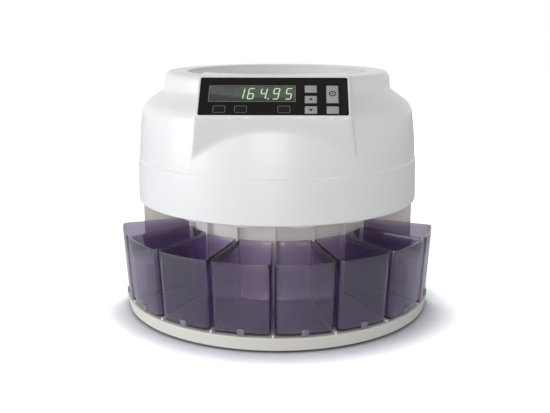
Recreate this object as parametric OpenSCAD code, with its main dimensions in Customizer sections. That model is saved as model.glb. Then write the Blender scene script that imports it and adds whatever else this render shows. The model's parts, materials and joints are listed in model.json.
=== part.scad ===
// Desktop coin sorting machine. All lengths are in millimetres.
// X is to the right, Y to the back and Z up. The feet stand on z = 0, and the
// coin disc turns about the vertical line x = 0, y = axis_y.

/* [Overall] */
// Reach of the drawers' top edge in front of the disc axis
front_reach = 177.5; // [174:0.5:186]
// Reach of the cover's flat back behind the disc axis
rear_reach = 152.5; // [151:0.5:154]
// Wall of the white mouldings
wall = 3; // [2.4:0.2:3.4]

/* [Base] */
// Height of the rubber feet below the base
foot_h = 2; // [1.5:0.5:4]
// Radius of a rubber foot
foot_r = 9; // [7:0.5:12]
// Distance of the base's front edge behind the drawers' lower edge
base_back = 0.5; // [-4:0.5:2]
// Height of the base's top face above the feet
base_h = 14; // [12:0.5:18]
// Inward slope of the base's outer face, top to bottom
base_slope = 2; // [1:0.25:6]

/* [Lower housing] */
// Radius of the lower housing
house_r = 154.4; // [154:0.1:155]
// Height of the lower housing
house_h = 110; // [106:1:116]
// Radius of the housing wall behind the drawers
bay_r = 99; // [96:0.5:100]
// Distance of that wall's centre behind the disc axis
bay_back = 15; // [12:1:18]
// Room for the hinge between the back panel and the cover's back
hinge_room = 7; // [6:0.1:8]

/* [Drawers] */
// Angle between gaps, seen from the disc axis
pitch_angle = 21.75; // [21:0.25:22]
// Point behind the disc axis where the gaps' lines meet
fan_back = 53; // [48:1:58]
// Gap between neighbouring drawers
drawer_gap = 3.2; // [2.8:0.2:4]
// Height of a drawer
drawer_h = 77.2; // [70:0.2:82]
// Wall and floor of a drawer
drawer_wall = 2; // [1.6:0.2:2.6]
// Radius of a drawer's front corners
drawer_corner = 6; // [4:0.5:8]
// Outward lean of a drawer's front, bottom to top
drawer_lean = 9.5; // [7:0.5:11]

/* [Cover] */
// Radius of the cover's skirt
skirt_r = 156.3; // [156:0.1:157.5]
// Radius of the cover above the crease
belly_r = 153.9; // [153.4:0.1:154.4]
// Height of the crease above the skirt's lower edge
crease_h = 47; // [40:1:54]
// Radius at the shoulder
shoulder_r = 149; // [147:0.5:151]
// Height of the shoulder above the skirt's lower edge
shoulder_h = 103.8; // [100:0.2:106]
// Radius of the neck below the rim
neck_r = 124.8; // [123:0.2:127]
// Height of the neck's foot above the skirt's lower edge
neck_h = 121.4; // [118:0.2:124]
// Height of the hopper rim above the skirt's lower edge
rim_h = 139.7; // [136:0.1:144]
// Radius of the hopper's mouth
mouth_r = 99; // [94:0.5:102]

/* [Console] */
// Panel width
panel_w = 142.6; // [138:0.2:144]
// Panel height along its slope
panel_l = 50; // [48:0.2:52]
// Lip round the panel
panel_lip = 2.2; // [1.6:0.1:3]
// Panel thickness
panel_t = 1.2; // [0.8:0.1:1.6]
// Depth of the panel's face below the lip
panel_sink = 0.4; // [0.2:0.1:0.8]
// Slope of the panel from horizontal
panel_tilt = 41.15; // [38:0.05:45]
// Ledge between the hopper's mouth and the console's face
mouth_ledge = 18.8; // [17:0.1:24]
// Height of the panel's centre above the skirt's lower edge
panel_h = 123.95; // [122:0.05:126]
// Reach of the chin's lower end in front of the disc axis
chin_reach = 130; // [126:1:134]
// Height of the chin's lower end above the skirt's lower edge
chin_h = 61.7; // [58:0.1:66]
// Half-width of the chin's lower end
chin_half = 81.3; // [79:0.1:83]

/* [Display and keys] */
// Display width
display_w = 83.3; // [80:0.1:84]
// Display height
display_l = 21.5; // [20:0.1:22.5]
// Black key width
black_key_w = 12.1; // [11:0.1:13]
// Grey key width
grey_key_w = 11.4; // [10:0.1:12]
// Key height along the panel
key_l = 9.1; // [8:0.1:9.4]
// Tall start key's height along the panel
start_key_l = 22.4; // [21:0.1:23]
// Gap round a key
key_gap = 0.25; // [0.2:0.05:0.4]
// Key travel
key_travel = 0.6; // [0.4:0.1:0.8]

/* [Sorting] */
// Radius of the coin disc
disc_r = 99; // [96:0.5:99.5]
// Coin disc thickness
disc_t = 3; // [2:0.5:4]
// Gap between the outer coin guide and the deck's rim
guide_gap = 0.5; // [0.3:0.1:1]
// Radius on which the coins drop
drop_r = 127; // [125:0.5:128]
// Bore radius of a coin chute
chute_r = 16; // [15:0.5:16.5]
// Width of the narrowest coin opening
coin_min = 17; // [16:0.5:18]
// Growth from one coin opening to the next
coin_step = 1.3; // [1:0.1:1.35]
// Sweeper fingers
finger_count = 12; // [8:1:16]
// Radius of the drive shaft
shaft_r = 5; // [4:0.5:6]
// Running gap of the shaft in its bushes
shaft_gap = 0.05; // [0.02:0.01:0.09]

/* [Drive] */
// Radius of the large pulley
pulley_r = 36; // [30:1:40]
// Radius of the motor pulley
motor_pulley_r = 9; // [8:0.5:12]
// Distance of the motor behind the disc axis
motor_back = 75; // [70:1:82]
// Motor radius
motor_r = 19; // [16:0.5:22]
// Motor length
motor_l = 56; // [46:1:60]

/* [Hidden] */
$fn = 96;
WHITE = "#ecebee";
WARM_WHITE = "#e3e0da";
SMOKE = [0.42, 0.35, 0.52, 0.55];
BLACK = "#1c1c1a";
GREY = "#a5a5a8";
STEEL = "silver";
RUBBER = "#333333";
BOARD = "#1f6b3a";
BIG = 420;
CUT = 0.5;
axis_y = (front_reach - rear_reach) / 2;
base_r = front_reach - drawer_lean - base_back;
back_panel_y = rear_reach - hinge_room;

// Heights
base_top = foot_h + base_h;
house_top = base_top + house_h;
deck_t = 3;
deck_top = house_top + deck_t;
plate_t = 1.5;
plate_top = deck_top + plate_t;
skirt_gap = 0.3;
skirt_z = house_top + skirt_gap;
rim_z = skirt_z + rim_h;
disc_z = plate_top + 0.5;
disc_top = disc_z + disc_t;

// Base
base_floor = 3.5;
boss_r = 12;
foot_seat = 1;
foot_x = 112;
foot_front_y = -88;
foot_back_y = 62;

// Fixing columns in the lower housing, two at the back and two in front
screw_r = 1.5;
screw_hole_r = 1.7;
screw_head_r = 2.7;
screw_head_h = 1.2;
column_r = 5.5;
back_column_r = 147;
back_column_angle = 50;
front_column_angle = 45;
column_at = [for (s = [-1, 1]) each [
  back_column_r * [s * sin(back_column_angle), cos(back_column_angle)],
  [0, bay_back] + (bay_r - column_r - 1) * [s * sin(front_column_angle), -cos(front_column_angle)]
]];

// Lower housing
house_wall = wall - 0.5;
fin_t = 2;
fin_reach = 8;
rib_h = 5;
rib_end = 1.5;

// Deck
lip_h = 5;
lip_r = skirt_r - wall - 0.7;
lip_t = 2;
guide_t = 3;
guide_h = 8.5;
guide_r = back_panel_y - lip_t - guide_gap - guide_t;
chute_lip_h = 4.5;
chute_lip_t = 1.5;
chute_lip_angle = 50;
sensor = [7, 10, 5];

// Drawers: gap k, from -4 to 4, is a line from the fan point through a point
// of the front circle
drawer_in_r = bay_r + 3;
drawer_clear = 0.3;
drawer_z = base_top + drawer_clear;
drawer_top = drawer_z + drawer_h;
tab_w = 9;
tab_h = 6;
tab_t = 1.2;
fan_point = [0, fan_back];
function gap_angle(k) =
  atan2(front_reach * sin(k * pitch_angle), fan_back + front_reach * cos(k * pitch_angle));
function fan_dir(a) = [sin(a), -cos(a)];
function fan_normal(a) = [cos(a), sin(a)];
// Where a line through p along d leaves a circle of radius r about the axis
function on_circle(p, d, r) = p + d * (-(p * d) + sqrt((p * d) * (p * d) - p * p + r * r));
function drawer_angle(k) = (gap_angle(k - 4) + gap_angle(k - 3)) / 2;
function drop_point(k) = on_circle(fan_point, fan_dir(drawer_angle(k)), drop_r);

// Drive
bush_r = 8;
bush_boss_r = 14;
upper_bush_h = 15;
lower_bush_h = 9;
belt_z = house_top - 25;
belt_w = 5;
belt_t = 1.2;
belt_gap = 0.3;
flange_t = 1;
flange_over = 2.5;
motor_plate_z = belt_z - 15;
motor_shaft_r = 2.5;
bracket_t = 3;
bracket_w = 54;
bracket_l = 48;
leg_l = 30;

// Hopper
funnel_wall = 2.5;
funnel_low_r = 81.5;
funnel_mid_r = 84;
funnel_mid_z = disc_top + 36;
funnel_gap = 3.3;
flange_r = neck_r - wall - 7.8;
sweeper_in_r = 88;
sweeper_out_r = 98;
sweeper_h = 4;

// Boards in the lower housing, as centre and size from above
main_at = [85, 58];
main_size = [70, 52];
main_lift = 10;
main_post_r = 3;
supply_at = [-86, 56];
supply_size = [72, 48, 38];

// Back panel fittings
inlet_x = -30;
inlet_z = base_top + 30;
rocker_x = 2;
rocker_z = base_top + 30;
port_x = 30;
port_z = base_top + 28;
rocker_r = 8.6;
rocker_w = 10;
rocker_pivot_r = 1.5;
rocker_gap = 0.4;
rocker_rest = 8;
port_w = 15;
port_h = 12;
port_l = 18;

// Hinge
hinge_r = 3.6;
hinge_y = back_panel_y + hinge_r + 0.3;
hinge_z = house_top - hinge_r - 0.4;
pin_r = 1.6;
pin_gap = 0.05;
knuckle_w = 8;
knuckle_x = 14;
hinge_l = 2 * (knuckle_x + 3 * knuckle_w);
hinge_side_gap = 0.3;

// Panel stack, measured from the console's face
console_half = panel_w / 2 + panel_lip;
console_run = panel_l / 2 + panel_lip;
panel_y = -mouth_r - mouth_ledge - console_run * cos(panel_tilt);
panel_z = skirt_z + panel_h;
window_half = panel_w / 2 - 6.3;
window_run = panel_l / 2 - 1.8;
panel_back = -panel_sink - panel_t;
window_flange = 1.5;
window_over = 1.6;
module_t = 6.4;
board_t = 1.6;
board_face = panel_back - window_flange - module_t;
board_half = console_half - wall - 1.4;
board_run = window_run;
post_r = 2.2;
post_x = window_half + post_r + 0.2;
post_y = board_run - post_r - 1;
key_proud = 0.3;
key_flange = 0.9;
key_flange_t = 1;
key_flange_gap = 0.1;
key_stem_r = 1.6;
switch_h = 1.9;
switch_w = 5;
display_x = -20.6;
display_y = 3.9;
black_row_y = -16.6;
black_xs = [-51.2, -30.9, 9.9];
grey_x = 35.4;
tall_x = 55.9;
grey_ys = [9.8, -3.8, -17.1];
start_y = 3;
// Each key: centre on the panel, width, height
KEYS = [
  [[black_xs[0], black_row_y], black_key_w, key_l],
  [[black_xs[1], black_row_y], black_key_w, key_l],
  [[black_xs[2], black_row_y], black_key_w, key_l],
  [[grey_x, grey_ys[0]], grey_key_w, key_l],
  [[grey_x, grey_ys[1]], grey_key_w, key_l],
  [[grey_x, grey_ys[2]], grey_key_w, key_l],
  [[tall_x, start_y], grey_key_w, start_key_l],
  [[tall_x, grey_ys[2]], grey_key_w, key_l]
];

// ---- Outlines ----
function unit(v) = v / norm(v);
function left_of(v) = [-v[1], v[0]];
function xy(p) = [p[0], p[1]];
function radius_of(p) = len(p) > 2 ? p[2] : 0;
// Points of the arc of radius r that rounds the corner b between a and c
function corner_arc(a, b, c, r, steps) =
  let (u = unit(a - b), v = unit(c - b), half = acos(u * v) / 2,
       p = b + u * r / tan(half), q = b + v * r / tan(half), o = b + unit(u + v) * r / sin(half))
  [for (i = [0 : steps]) o + r * unit((p - o) * (steps - i) + (q - o) * i)];
// A closed outline of corners [x, y, radius], with each corner rounded
function rounded(ps, steps) =
  let (n = len(ps))
  [for (i = [0 : n - 1])
    each radius_of(ps[i]) > 0
      ? corner_arc(xy(ps[(i + n - 1) % n]), xy(ps[i]), xy(ps[(i + 1) % n]), ps[i][2], steps)
      : [xy(ps[i])]];
// The same corners moved inwards by w; the outline runs anticlockwise
function inset(ps, w) =
  let (n = len(ps))
  [for (i = [0 : n - 1])
    let (a = xy(ps[(i + n - 1) % n]), b = xy(ps[i]), c = xy(ps[(i + 1) % n]),
         u = left_of(unit(b - a)), v = left_of(unit(c - b)), turn = cross(b - a, c - b),
         p = b + w * (u + v) / (1 + u * v))
    [p[0], p[1], radius_of(ps[i]) > 0 ? max(0.4, ps[i][2] - sign(turn) * w) : 0]];

// ---- Shared shapes ----
module at_axis() translate([0, axis_y, 0]) children();
module on_panel() at_axis() translate([0, panel_y, panel_z]) rotate([panel_tilt, 0, 0]) children();
module at_motor() at_axis() translate([0, motor_back, 0]) children();
module at_gap(k) translate([0, fan_back, 0]) rotate([0, 0, gap_angle(k) - 90]) children();
module along_x(l) rotate([90, 0, 90]) linear_extrude(l, center = true) children();
module ring(r_out, r_in, z0, z1) difference() {
  translate([0, 0, z0]) cylinder(r = r_out, h = z1 - z0);
  translate([0, 0, z0 - CUT]) cylinder(r = r_in, h = z1 - z0 + 2 * CUT);
}
// Everything in front of the plane y = back
module ahead_of(back) translate([-BIG, back - 2 * BIG, -CUT]) cube([2 * BIG, 2 * BIG, BIG]);
module box(w, l, h) translate([-w / 2, -l / 2, 0]) cube([w, l, h]);
// The fan of the drawer bay, widened by s past its two end lines
module bay_fan(s, z0, z1) {
  a = gap_angle(4);
  top = [0, fan_back + s / sin(a)];
  side = top + BIG * fan_dir(a);
  translate([0, 0, z0]) linear_extrude(z1 - z0)
    polygon([top, [-side[0], side[1]], [-side[0], -BIG], [side[0], -BIG], side]);
}
// Solid plan of the lower housing, with its walls moved in by s
module house_solid(s, z0, z1) difference() {
  intersection() {
    translate([0, 0, z0]) cylinder(r = house_r - s, h = z1 - z0);
    ahead_of(back_panel_y - s);
  }
  difference() {
    bay_fan(drawer_gap / 2 + s, z0 - CUT, z1 + CUT);
    translate([0, bay_back, z0 - 2 * CUT]) cylinder(r = bay_r - s, h = z1 - z0 + 4 * CUT);
  }
}
module screw(z_head, z_tip) {
  up = sign(z_tip - z_head);
  translate([0, 0, min(z_head, z_tip)]) cylinder(r = screw_r, h = abs(z_tip - z_head), $fn = 24);
  translate([0, 0, up > 0 ? z_head - screw_head_h : z_head])
    cylinder(r = screw_head_r, h = screw_head_h, $fn = 24);
}

// ---- Base ----
module base_solid(s, z0, z1) {
  profile = inset([[0, foot_h], [base_r - base_slope, foot_h, 1.2], [base_r, base_top - 2, 6],
                   [base_r, base_top], [0, base_top]], s);
  intersection() {
    translate([0, 0, z0 - foot_h - s]) rotate_extrude()
      polygon([for (p = rounded(profile, 4)) [max(0, p[0]), p[1]]]);
    bay_fan(drawer_gap / 2 + house_wall - s, z0 - CUT, z1);
  }
  intersection() {
    translate([0, 0, z0]) cylinder(r = house_r - s, h = z1 - z0);
    ahead_of(back_panel_y - s);
  }
}
module foot_places() for (x = [-foot_x, foot_x], y = [foot_front_y, foot_back_y])
  translate([x, y, 0]) children();
module base_tray() color(WARM_WHITE) at_axis() {
  difference() {
    union() {
      difference() {
        base_solid(0, foot_h, base_top);
        translate([0, 0, -base_floor]) base_solid(wall, foot_h, base_top);
      }
      foot_places() translate([0, 0, foot_h]) cylinder(r = foot_r + 2, h = base_h - base_floor + CUT);
      translate([0, 0, base_top - CUT]) cylinder(r = boss_r, h = lower_bush_h + CUT);
      for (x = [-1, 1], y = [-1, 1])
        translate([main_at[0] + x * (main_size[0] / 2 - 4), main_at[1] + y * (main_size[1] / 2 - 4),
                   base_top - CUT])
          cylinder(r = main_post_r, h = main_lift + CUT, $fn = 32);
      for (k = [-3 : 3]) at_gap(k)
        translate([gap_start(k), -fin_t / 2, base_top - CUT]) cube([rib_l(k), fin_t, rib_h + CUT]);
    }
    foot_places() cylinder(r = foot_r, h = foot_h + foot_seat, $fn = 48);
    translate([0, 0, base_top]) cylinder(r = bush_r, h = lower_bush_h + CUT);
    for (p = column_at) translate([p[0], p[1], 0]) cylinder(r = screw_hole_r, h = base_top + CUT, $fn = 24);
  }
}
// Distance from the fan point to the bay wall, and a rib's length from there
function gap_start(k) =
  let (p = [0, fan_back - bay_back], d = fan_dir(gap_angle(k)), r = bay_r + 1)
  -(p * d) + sqrt((p * d) * (p * d) - p * p + r * r);
function rib_l(k) =
  norm(on_circle(fan_point, fan_dir(gap_angle(k)), base_r - rib_end) - fan_point) - gap_start(k);
module rubber_feet() color(RUBBER) at_axis() foot_places() {
  cylinder(r1 = foot_r - 1, r2 = foot_r, h = 1, $fn = 48);
  translate([0, 0, 1]) cylinder(r = foot_r, h = foot_h + foot_seat - 1, $fn = 48);
}
module base_screws() color(STEEL) at_axis() for (p = column_at)
  translate([p[0], p[1], 0]) screw(base_top - base_floor, base_top + 14);

// ---- Lower housing ----
module back_cut(x, z, w, h) translate([x - w / 2, back_panel_y - 20, z - h / 2]) cube([w, 30, h]);
module lower_housing() color(WARM_WHITE) at_axis() difference() {
  union() {
    difference() {
      house_solid(0, base_top, house_top);
      house_solid(house_wall, base_top - CUT, house_top + CUT);
    }
    for (p = column_at) translate([p[0], p[1], base_top]) cylinder(r = column_r, h = house_h, $fn = 48);
    for (k = [-3 : 3]) at_gap(k)
      translate([gap_start(k) - 2.1, -fin_t / 2, base_top + rib_h + drawer_clear])
        cube([fin_reach, fin_t, house_h - rib_h - drawer_clear]);
    for (s = [-1, 1]) translate([s * (knuckle_x + knuckle_w / 2), 0, 0]) housing_knuckle();
  }
  for (p = column_at) translate([p[0], p[1], base_top - CUT])
    cylinder(r = screw_r, h = house_h + 2 * CUT, $fn = 24);
  on_hinge() cylinder(r = pin_r, h = hinge_l, center = true, $fn = 32);
  back_cut(inlet_x, inlet_z, inlet_w, inlet_h);
  back_cut(rocker_x, rocker_z, frame_w, frame_h);
  back_cut(port_x, port_z, port_w, port_h);
}
// Places a cylinder along the hinge line
module on_hinge() translate([0, hinge_y, hinge_z]) rotate([0, 90, 0]) children();
module housing_knuckle() {
  on_hinge() cylinder(r = hinge_r, h = knuckle_w, center = true, $fn = 48);
  translate([-knuckle_w / 2, back_panel_y - 1, hinge_z - hinge_r])
    cube([knuckle_w, hinge_y - back_panel_y + 1, 2 * hinge_r]);
}
module hinge_pins() color(STEEL) at_axis() for (s = [-1, 1])
  translate([s * (knuckle_x + knuckle_w + hinge_side_gap / 2), 0, 0])
    on_hinge() cylinder(r = pin_r, h = 2 * knuckle_w + 1.2, center = true, $fn = 32);

// ---- Deck and sorting track ----
module flat_disc(r, s, z0, z1) intersection() {
  translate([0, 0, z0]) cylinder(r = r, h = z1 - z0);
  ahead_of(back_panel_y - s);
}
module deck_frame() color(WARM_WHITE) at_axis() difference() {
  union() {
    flat_disc(lip_r, 0, house_top, deck_top);
    difference() {
      flat_disc(lip_r, 0, deck_top - CUT, deck_top + lip_h);
      flat_disc(lip_r - lip_t, lip_t, deck_top - 2 * CUT, deck_top + lip_h + CUT);
    }
    translate([0, 0, deck_top - upper_bush_h]) cylinder(r = bush_boss_r, h = upper_bush_h);
  }
  for (k = [1 : 8]) translate([drop_point(k - 1)[0], drop_point(k - 1)[1], house_top - CUT])
    cylinder(r = chute_r, h = deck_t + 2 * CUT, $fn = 64);
  translate([0, 0, house_top - upper_bush_h - CUT]) cylinder(r = bush_r, h = 2 * upper_bush_h);
  for (p = column_at) translate([p[0], p[1], house_top - CUT])
    cylinder(r = screw_hole_r, h = deck_t + 2 * CUT, $fn = 24);
}
module deck_screws() color(STEEL) at_axis() for (p = column_at)
  translate([p[0], p[1], 0]) screw(deck_top, house_top - 14);
// Curved lips under the deck, each round the outer side of its coin chute
module coin_chutes() color(WARM_WHITE) at_axis() for (k = [0 : 7]) {
  p = drop_point(k);
  translate([p[0], p[1], house_top - chute_lip_h]) rotate([0, 0, atan2(p[1], p[0]) - chute_lip_angle])
    rotate_extrude(angle = 2 * chute_lip_angle, $fn = 64)
      translate([chute_r, 0]) square([chute_lip_t, chute_lip_h]);
}
module sorting_plate() color(STEEL) at_axis() difference() {
  ring(guide_r + guide_t, disc_r + 1, deck_top, plate_top);
  for (k = [0 : 7]) {
    w = coin_min + k * coin_step;
    p = drop_point(k);
    translate([0, 0, deck_top - CUT]) rotate([0, 0, atan2(p[1], p[0])])
      translate([guide_r - 0.5 - w / 2, 0, 0]) {
      for (s = [-1, 1]) translate([0, s, 0]) cylinder(r = w / 2, h = plate_t + 2 * CUT, $fn = 48);
      translate([-w / 2, -1, 0]) cube([w, 2, plate_t + 2 * CUT]);
    }
  }
}
module guide_ring() color(WARM_WHITE) at_axis()
  ring(guide_r + guide_t, guide_r, plate_top, plate_top + guide_h);
module coin_sensors() color(BLACK) at_axis() for (k = [0 : 7]) {
  p = drop_point(k);
  rotate([0, 0, atan2(p[1], p[0])])
    translate([drop_r - chute_r - sensor[0] - 2, -sensor[1] / 2, house_top - sensor[2]]) cube(sensor);
}
module coin_disc() color(STEEL) at_axis() difference() {
  union() {
    translate([0, 0, disc_z]) cylinder(r = disc_r, h = disc_t);
    translate([0, 0, disc_z - 1.2]) cylinder(r = 12, h = 1.2 + CUT);
    translate([0, 0, disc_top]) cylinder(r1 = 14, r2 = 6, h = 8);
  }
  translate([0, 0, disc_z - 2]) cylinder(r = shaft_r, h = disc_t + 2);
}
module sweeper_ring() color(RUBBER) at_axis() {
  ring(sweeper_out_r, sweeper_in_r, disc_top, disc_top + sweeper_h);
  for (i = [0 : finger_count - 1]) rotate([0, 0, (i + 0.5) * 360 / finger_count])
    translate([disc_r + 0.3, -1.5, disc_z]) cube([guide_r - disc_r - 1.8, 3, disc_t + sweeper_h]);
  for (i = [0 : finger_count - 1]) rotate([0, 0, (i + 0.5) * 360 / finger_count])
    translate([sweeper_out_r - 1, -1.5, disc_top]) cube([5, 3, sweeper_h]);
}
module drive_shaft() color(STEEL) at_axis() translate([0, 0, base_top + 0.5])
  cylinder(r = shaft_r, h = disc_top - base_top - 0.5);
module bush(z0, h) ring(bush_r, shaft_r + shaft_gap, z0, z0 + h);
module upper_bush() color("#b8860b") at_axis() bush(deck_top - upper_bush_h, upper_bush_h);
module lower_bush() color("#b8860b") at_axis() bush(base_top, lower_bush_h);

// ---- Drive ----
module pulley(r) {
  translate([0, 0, belt_z - belt_gap - flange_t]) cylinder(r = r + flange_over, h = flange_t);
  translate([0, 0, belt_z - belt_gap]) cylinder(r = r, h = belt_w + 2 * belt_gap);
  translate([0, 0, belt_z + belt_w + belt_gap]) cylinder(r = r + flange_over, h = flange_t);
}
module driven_pulley() color(BLACK) at_axis() difference() {
  union() {
    pulley(pulley_r);
    translate([0, 0, belt_z - 8]) cylinder(r = shaft_r + 4, h = 8);
  }
  translate([0, 0, belt_z - 9]) cylinder(r = shaft_r, h = belt_w + 20);
}
module motor_pulley() color(STEEL) at_motor() {
  pulley(motor_pulley_r);
  translate([0, 0, motor_plate_z + bracket_t + 1])
    cylinder(r = motor_shaft_r, h = belt_z - motor_plate_z - bracket_t, $fn = 48);
}
module belt_loop(s, z0, z1) hull() {
  translate([0, 0, z0]) cylinder(r = pulley_r + s, h = z1 - z0, $fn = 64);
  translate([0, motor_back, z0]) cylinder(r = motor_pulley_r + s, h = z1 - z0, $fn = 32);
}
module drive_belt() color(RUBBER) at_axis() difference() {
  belt_loop(belt_gap + belt_t, belt_z, belt_z + belt_w);
  belt_loop(belt_gap, belt_z - CUT, belt_z + belt_w + CUT);
}
module motor() color(STEEL) at_motor() {
  translate([0, 0, motor_plate_z - motor_l]) cylinder(r = motor_r, h = motor_l);
  translate([0, 0, motor_plate_z]) cylinder(r = 6, h = bracket_t, $fn = 48);
  translate([0, 0, motor_plate_z - motor_l - 4]) cylinder(r = 7, h = 4, $fn = 48);
}
module motor_bracket() color(STEEL) at_motor() {
  difference() {
    translate([0, 0, motor_plate_z]) box(bracket_w, bracket_l, bracket_t);
    translate([0, 0, motor_plate_z - CUT]) cylinder(r = 6, h = bracket_t + 2 * CUT, $fn = 48);
  }
  for (s = [-1, 1]) {
    translate([s * (bracket_w - bracket_t) / 2, 0, base_top]) box(bracket_t, leg_l, motor_plate_z - base_top);
    translate([s * (bracket_w / 2 + 5), 0, base_top]) box(10, leg_l, bracket_t);
  }
}

// ---- Cover ----
function cover_outline() = [
  [0, skirt_z], [skirt_r, skirt_z, 1.2], [belly_r + 1.1, skirt_z + crease_h - 1.2, 1],
  [belly_r, skirt_z + crease_h, 0], [belly_r - 0.7, skirt_z + crease_h + 21, 350],
  [shoulder_r, skirt_z + shoulder_h, 18], [neck_r, skirt_z + neck_h, 10], [neck_r - 1, rim_z, 7], [0, rim_z]
];
module cover_solid(s) intersection() {
  rotate_extrude($fn = 180) polygon([for (p = rounded(inset(cover_outline(), s), 6)) [max(0, p[0]), p[1]]]);
  ahead_of(rear_reach - s);
}
// Section of the console through the disc axis, y forward negative
brow_y = panel_y - console_run * cos(panel_tilt);
brow_z = panel_z - console_run * sin(panel_tilt);
crown_y = panel_y + console_run * cos(panel_tilt);
crown_z = panel_z + console_run * sin(panel_tilt);
chin_z = skirt_z + chin_h;
chin_slope = (-chin_reach - brow_y) / (brow_z - chin_z);
chin_run = 10;
function console_section() = [
  [-mouth_r + 1, crown_z], [crown_y, crown_z], [brow_y, brow_z],
  [-chin_reach + chin_run * chin_slope, chin_z - chin_run], [-mouth_r + 1, chin_z - chin_run]
];
function console_front(s) =
  let (flare = (chin_half - console_half) / (brow_z - chin_z), low = chin_z - chin_run - 4,
       half = console_half - s)
  [[-half, crown_z + 4], [-half, brow_z], [-half - flare * (brow_z - low), low],
   [half + flare * (brow_z - low), low], [half, brow_z], [half, crown_z + 4]];
module console_solid(s) intersection() {
  along_x(2 * BIG) polygon([for (p = inset(console_section(), s)) xy(p)]);
  rotate([90, 0, 0]) linear_extrude(BIG) polygon(console_front(s));
}
module top_cover() color(WHITE) difference() {
  union() {
    at_axis() difference() {
      union() {
        cover_solid(0);
        console_solid(0);
      }
      difference() {
        union() {
          cover_solid(wall);
          translate([0, 0, skirt_z - CUT]) cylinder(r = skirt_r - wall, h = wall + 1 + CUT);
        }
        translate([-BIG, rear_reach - wall, 0]) cube([2 * BIG, BIG, BIG]);
      }
      console_solid(wall);
      cylinder(r = mouth_r, h = BIG);
    }
    for (s = [-1, 1]) at_axis() translate([s * (knuckle_x + 1.5 * knuckle_w + hinge_side_gap), 0, 0])
      cover_knuckle();
    on_panel() for (x = [-post_x, post_x], y = [-post_y, post_y])
      translate([x, y, board_face]) cylinder(r = post_r, h = -board_face - wall + CUT, $fn = 32);
  }
  on_panel() {
    translate([0, 0, -panel_sink - panel_t]) box(panel_w + 0.3, panel_l + 0.3, 5);
    translate([0, 0, -wall - CUT]) box(2 * window_half, 2 * window_run, 9);
    for (x = [-post_x, post_x], y = [-post_y, post_y])
      translate([x, y, board_face - CUT]) cylinder(r = 0.9, h = 6 + CUT, $fn = 24);
  }
  at_axis() on_hinge() cylinder(r = pin_r + pin_gap, h = hinge_l, center = true, $fn = 32);
}
module cover_knuckle() {
  on_hinge() cylinder(r = hinge_r, h = knuckle_w, center = true, $fn = 48);
  translate([-knuckle_w / 2, hinge_y, hinge_z])
    cube([knuckle_w, rear_reach - hinge_y, skirt_z - hinge_z + 2]);
}
module hopper_funnel() color(WHITE) at_axis() {
  top = rim_z - wall;
  low = disc_top + funnel_gap;
  rotate_extrude($fn = 144) polygon([
    [funnel_low_r, low], [funnel_low_r + funnel_wall, low], [funnel_mid_r + funnel_wall, funnel_mid_z],
    [mouth_r + funnel_wall, top - 2], [flange_r, top - 2], [flange_r, top],
    [mouth_r, top], [funnel_mid_r, funnel_mid_z]
  ]);
}

// ---- Console ----
module key_slot(k, s, z0, z1) translate([KEYS[k][0][0], KEYS[k][0][1], z0])
  box(KEYS[k][1] + 2 * s, KEYS[k][2] + 2 * s, z1 - z0);
module control_panel() color(BLACK) on_panel() difference() {
  translate([0, 0, panel_back]) box(panel_w, panel_l, panel_t);
  translate([display_x, display_y, panel_back - CUT]) box(display_w, display_l, panel_t + 2 * CUT);
  for (k = [0 : len(KEYS) - 1]) key_slot(k, key_gap, panel_back - CUT, CUT);
}
module display_window() color([0.1, 0.14, 0.12, 0.7]) on_panel() translate([display_x, display_y, 0]) {
  translate([0, 0, panel_back]) box(display_w - 0.2, display_l - 0.2, panel_t - 0.1);
  translate([0, 0, panel_back - window_flange])
    box(display_w + window_over, display_l + window_over, window_flange);
}
module display_module() color(BLACK) on_panel() translate([display_x, display_y, board_face])
  box(display_w - 1, display_l - 1, module_t);
module key_switches() color(GREY) on_panel() for (k = [0 : len(KEYS) - 1])
  translate([KEYS[k][0][0], KEYS[k][0][1], board_face]) box(switch_w, switch_w, switch_h);
module panel_board() color(BOARD) on_panel() difference() {
  translate([0, 0, board_face - board_t]) box(2 * board_half, 2 * board_run, board_t);
  for (x = [-post_x, post_x], y = [-post_y, post_y])
    translate([x, y, board_face - board_t - CUT]) cylinder(r = 1.1, h = board_t + 2 * CUT, $fn = 24);
}
module board_screws() color(STEEL) on_panel() for (x = [-post_x, post_x], y = [-post_y, post_y])
  translate([x, y, board_face - board_t]) {
    cylinder(r = 0.9, h = board_t + 5, $fn = 24);
    translate([0, 0, -1.4]) cylinder(r = 1.9, h = 1.4, $fn = 24);
  }
module key(k, tint) color(tint) on_panel() {
  flange_top = panel_back - key_flange_gap;
  key_slot(k, 0, flange_top - CUT, key_proud - panel_sink);
  key_slot(k, key_flange, flange_top - key_flange_t, flange_top);
  translate([KEYS[k][0][0], KEYS[k][0][1], board_face + switch_h + key_travel + 0.2])
    cylinder(r = key_stem_r, h = flange_top - key_flange_t - board_face - switch_h - key_travel, $fn = 32);
}
module key_black_left() key(0, BLACK);
module key_black_middle() key(1, BLACK);
module key_black_right() key(2, BLACK);
module key_mode() key(3, GREY);
module key_up() key(4, GREY);
module key_down() key(5, GREY);
module key_start() key(6, GREY);
module key_clear() key(7, GREY);

// ---- Drawers ----
// Centre of a front corner's rounding, w inside the drawer's outer faces, for a
// front of the given reach; side -1 is the left wall and 1 the right wall
function front_corner(k, side, w, reach, r) =
  let (a = gap_angle(side < 0 ? k - 4 : k - 3), off = drawer_gap / 2 + w + r)
  on_circle(fan_point - side * off * fan_normal(a), fan_dir(a), reach - w - r);
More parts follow.
